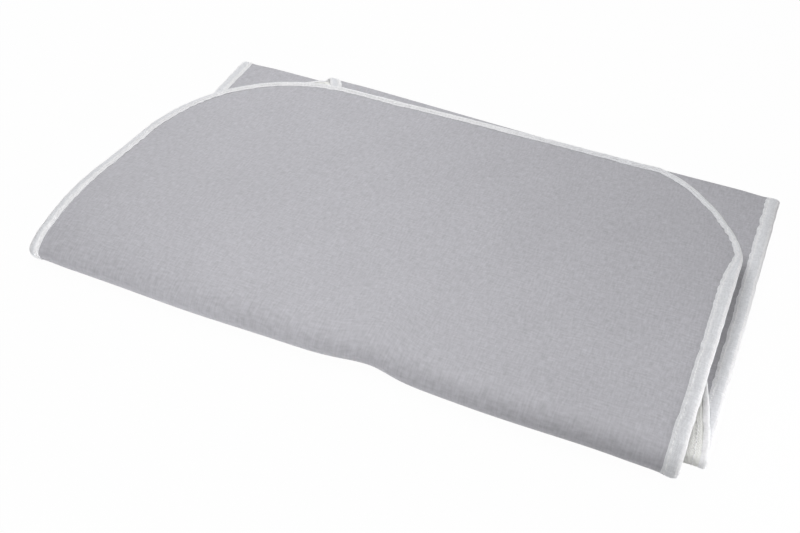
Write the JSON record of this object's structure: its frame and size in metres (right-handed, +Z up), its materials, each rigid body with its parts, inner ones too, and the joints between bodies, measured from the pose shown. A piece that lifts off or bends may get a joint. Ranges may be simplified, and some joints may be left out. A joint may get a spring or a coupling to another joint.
{
  "type": "ironing board cover",
  "caption": "Folded ironing board cover: silver cloth on a white felt underlay, edges bound with white tape, its round-cornered heel folded back on top as a flap.",
  "frame": {"origin": "middle of the folded bundle's bounding box, on the surface it lies on", "axes": "+X along the folds, to the right in the picture; +Y from the near fold to the far folds; +Z up"},
  "size_m": [0.494, 0.2924, 0.0301],
  "materials": {
    "face_cloth": "metallised cotton, fine weave, soft sheen",
    "felt": "matt needled felt",
    "binding_tape": "matt woven tape"
  },
  "bodies": {
    "folded_stack": {"near_fold_face": "face_cloth", "near_fold_underlay": "felt", "near_fold_binding_left": "binding_tape", "near_fold_binding_right": "binding_tape", "base_panel_face": "face_cloth", "base_panel_underlay": "felt", "base_panel_binding_left": "binding_tape", "base_panel_binding_right": "binding_tape", "far_fold_face": "face_cloth", "far_fold_underlay": "felt", "far_fold_binding_left": "binding_tape", "far_fold_binding_right": "binding_tape", "middle_panel_face": "face_cloth", "middle_panel_underlay": "felt", "middle_panel_binding_left": "binding_tape", "middle_panel_binding_right": "binding_tape", "inner_near_fold_face": "face_cloth", "inner_near_fold_underlay": "felt", "inner_near_fold_binding_left": "binding_tape", "inner_near_fold_binding_right": "binding_tape", "nose_panel_face": "face_cloth", "nose_panel_underlay": "felt", "nose_panel_binding_left": "binding_tape", "nose_panel_binding_right": "binding_tape", "inner_far_fold_face": "face_cloth", "inner_far_fold_underlay": "felt", "inner_far_fold_binding_left": "binding_tape", "inner_far_fold_binding_right": "binding_tape", "nose_tip_face": "face_cloth", "nose_tip_underlay": "felt", "nose_tip_binding_left": "binding_tape", "nose_tip_binding_right": "binding_tape"},
    "heel_flap": {"heel_flap_face": "face_cloth", "heel_flap_underlay": "felt", "heel_flap_binding_left": "binding_tape", "heel_flap_binding_left_corner": "binding_tape", "heel_flap_binding_heel": "binding_tape", "heel_flap_binding_right_corner": "binding_tape", "heel_flap_binding_right": "binding_tape"}
  },
  "joints": [
    {"name": "heel_flap_fold", "type": "hinge", "parent": "folded_stack", "child": "heel_flap", "pos_m": [0, -0.14413, 0.01105], "axis": [1, 0, 0], "range_deg": [0, 175], "deforming": ["near_fold_face", "near_fold_underlay", "near_fold_binding_left", "near_fold_binding_right"]}
  ]
}
